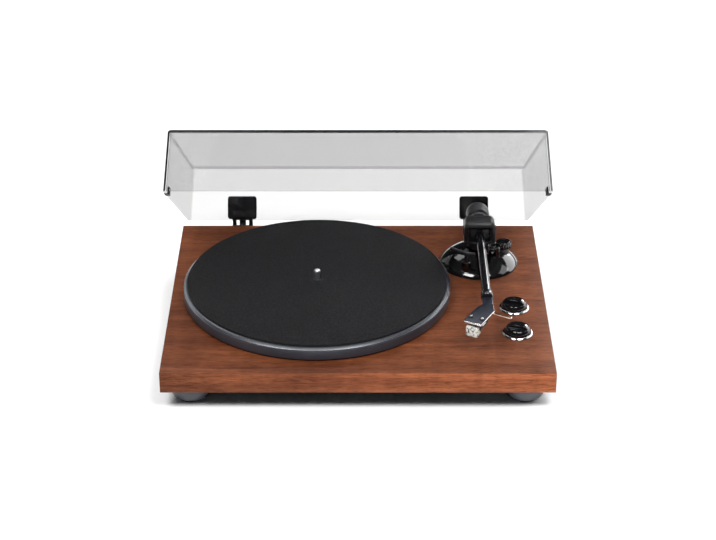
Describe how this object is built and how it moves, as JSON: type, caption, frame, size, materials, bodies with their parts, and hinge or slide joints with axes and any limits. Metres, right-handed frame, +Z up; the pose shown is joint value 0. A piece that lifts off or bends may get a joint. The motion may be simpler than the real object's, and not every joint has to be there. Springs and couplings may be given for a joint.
{
  "type": "turntable",
  "caption": "Belt-drive turntable with a wooden plinth, rubber-matted platter, straight tone arm with offset headshell, rotary controls and a hinged clear dust cover",
  "frame": {"origin": "on the floor under the middle of the whole outline with the lid raised as in the picture", "axes": "+X to the right of the user, +Y to the back where the hinges are, +Z up"},
  "size_m": [0.42, 0.3694, 0.2811],
  "materials": {
    "walnut": "satin reddish-brown veneer, grain left to right",
    "black_steel": "matt black coat",
    "grey_plastic": "satin grey",
    "black_rubber": "matt",
    "steel": "plain steel",
    "plain_alloy": "turned",
    "bronze": "turned",
    "board_green": "green solder mask",
    "white_plastic": "gloss white",
    "red_plastic": "gloss red",
    "black_plastic": "fine matt grain",
    "bright_chrome": "polished",
    "gloss_black": "piano black",
    "grey_alloy": "satin blue-grey",
    "slate_alloy": "dark slate satin coat",
    "black_alloy": "satin black coat",
    "weight_black": "satin black",
    "copper_steel": "warm plated",
    "tip_red": "dark red",
    "cream_plastic": "translucent cream",
    "clear_plastic": "clear acrylic"
  },
  "bodies": {
    "plinth": {"plinth_board": "walnut", "bottom_cover": "black_steel", "cover_screws": "steel", "foot_front_left": "grey_plastic", "foot_front_right": "grey_plastic", "foot_rear_left": "grey_plastic", "foot_rear_right": "grey_plastic", "foot_pads": "black_rubber", "foot_screws": "steel", "bearing_housing": "plain_alloy", "bearing_bush": "bronze", "thrust_ball": "steel", "motor": "steel", "motor_bracket": "steel", "motor_grommets": "black_rubber", "drive_belt": "black_rubber", "circuit_board": "board_green", "board_spacers": "steel", "chassis_screws": "steel", "jack_plate": "black_steel", "output_jacks": "bronze", "jack_collar_left": "white_plastic", "jack_collar_right": "red_plastic", "ground_post": "steel", "power_inlet": "black_plastic", "hinge_base_left": "black_plastic", "hinge_base_right": "black_plastic", "hinge_pins": "steel", "rear_screws": "steel", "knob_rings": "bright_chrome", "rotary_switches": "black_plastic", "arm_base": "gloss_black", "arm_pillar": "black_alloy", "pillar_nut": "steel", "arm_rest": "grey_alloy"},
    "platter_body": {"platter": "slate_alloy", "platter_mat": "black_rubber", "spindle": "steel"},
    "pulley_body": {"motor_shaft": "steel", "motor_pulley": "bronze"},
    "yoke_body": {"arm_yoke": "black_alloy"},
    "arm_body": {"arm_block": "black_alloy", "arm_tube": "black_alloy", "headshell": "slate_alloy", "headshell_screws": "steel", "finger_lift": "copper_steel", "cartridge": "black_plastic", "stylus": "tip_red"},
    "weight_body": {"counterweight": "weight_black"},
    "dial_body": {"force_dial": "black_plastic"},
    "guard_body": {"stylus_guard": "cream_plastic"},
    "lift_body": {"lift_platform": "black_plastic"},
    "cue_body": {"cue_lever": "weight_black"},
    "speed_body": {"speed_knob": "gloss_black"},
    "start_body": {"start_knob": "gloss_black"},
    "skate_body": {"anti_skate_knob": "gloss_black"},
    "lid_body": {"dust_cover": "clear_plastic", "hinge_holder_left": "black_plastic", "hinge_holder_right": "black_plastic", "lid_bumpers": "black_rubber"}
  },
  "joints": [
    {"name": "platter_spin", "type": "hinge", "parent": "plinth", "child": "platter_body", "pos_m": [-0.046, -0.01069, 0.06], "axis": [0, 0, 1], "continuous": true},
    {"name": "pulley_spin", "type": "hinge", "parent": "plinth", "child": "pulley_body", "pos_m": [-0.1252, 0.0685, 0.055], "axis": [0, 0, 1], "continuous": true},
    {"name": "arm_swing", "type": "hinge", "parent": "plinth", "child": "yoke_body", "pos_m": [0.14, 0.06431, 0.089], "axis": [0, 0, -1], "range_deg": [0, 50]},
    {"name": "arm_tilt", "type": "hinge", "parent": "yoke_body", "child": "arm_body", "pos_m": [0.14, 0.06431, 0.089], "axis": [-1, 0, 0], "range_deg": [-1.8, 10]},
    {"name": "weight_slide", "type": "slide", "parent": "arm_body", "child": "weight_body", "axis": [0, 1, 0], "range_m": [-0.004, 0.006]},
    {"name": "dial_turn", "type": "hinge", "parent": "weight_body", "child": "dial_body", "pos_m": [0.14, 0.08631, 0.089], "axis": [0, 1, 0], "continuous": true},
    {"name": "guard_slide", "type": "slide", "parent": "arm_body", "child": "guard_body", "axis": [-0.4695, -0.8829, 0], "range_m": [0, 0.014]},
    {"name": "cue_turn", "type": "hinge", "parent": "plinth", "child": "cue_body", "pos_m": [0.154, 0.04931, 0.072], "axis": [-1, 0, 0], "range_deg": [-30, 13]},
    {"name": "lift_slide", "type": "slide", "parent": "plinth", "child": "lift_body", "axis": [0, 0, 1], "range_m": [-0.003, 0.0013]},
    {"name": "speed_turn", "type": "hinge", "parent": "plinth", "child": "speed_body", "pos_m": [0.174, -0.04469, 0.054], "axis": [0, 0, 1], "range_deg": [-30, 30]},
    {"name": "start_turn", "type": "hinge", "parent": "plinth", "child": "start_body", "pos_m": [0.174, -0.10019, 0.054], "axis": [0, 0, 1], "range_deg": [0, 60]},
    {"name": "skate_turn", "type": "hinge", "parent": "plinth", "child": "skate_body", "pos_m": [0.1685, 0.06331, 0.072], "axis": [0, 0, 1], "range_deg": [0, 270]},
    {"name": "lid_hinge", "type": "hinge", "parent": "plinth", "child": "lid_body", "pos_m": [0, 0.16131, 0.039], "axis": [-1, 0, 0], "range_deg": [-32.66, 37.34]}
  ],
  "couplings": [
    {"joint": "pulley_spin", "follows": "platter_spin", "ratio": 13.963},
    {"joint": "lift_slide", "follows": "cue_turn", "m_per_rad": 0.0057}
  ]
}
